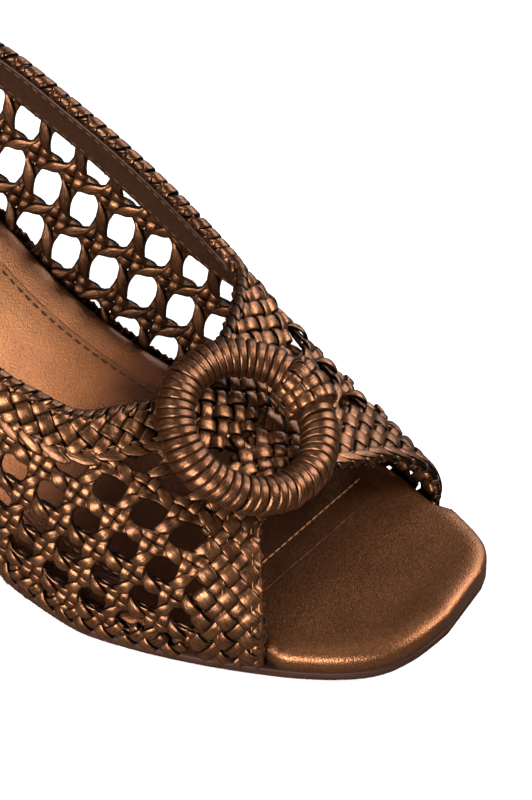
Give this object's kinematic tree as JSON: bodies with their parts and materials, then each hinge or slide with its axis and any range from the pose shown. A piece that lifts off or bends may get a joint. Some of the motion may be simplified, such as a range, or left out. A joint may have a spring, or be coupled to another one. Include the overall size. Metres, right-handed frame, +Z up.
{
  "type": "woven mule sandal",
  "caption": "Open-toe high-heeled mule for the right foot with a cane-woven leather upper, wrapped ring on the vamp, padded footbed and covered block heel.",
  "frame": {"origin": "centre of the bounding box on the floor plane", "axes": "+X towards the toe, +Y towards the inner side of the foot, +Z up from the floor"},
  "size_m": [0.215, 0.0844, 0.0957],
  "materials": {
    "sole_leather": "smooth edge-stained sole leather",
    "footbed_leather": "fine-grained metallic bronze leather",
    "woven_leather": "rubbed metallic bronze leather strip",
    "binding_leather": "smooth dark brown leather tape",
    "heel_leather": "metallic bronze leather cover",
    "tip_rubber": "matt"
  },
  "bodies": {
    "root": {"outsole": "sole_leather", "footbed": "footbed_leather", "sock": "footbed_leather", "upper": "woven_leather", "collar_binding": "binding_leather", "ring": "woven_leather", "ring_keeper": "woven_leather", "heel": "heel_leather", "heel_tip": "tip_rubber"}
  },
  "joints": []
}
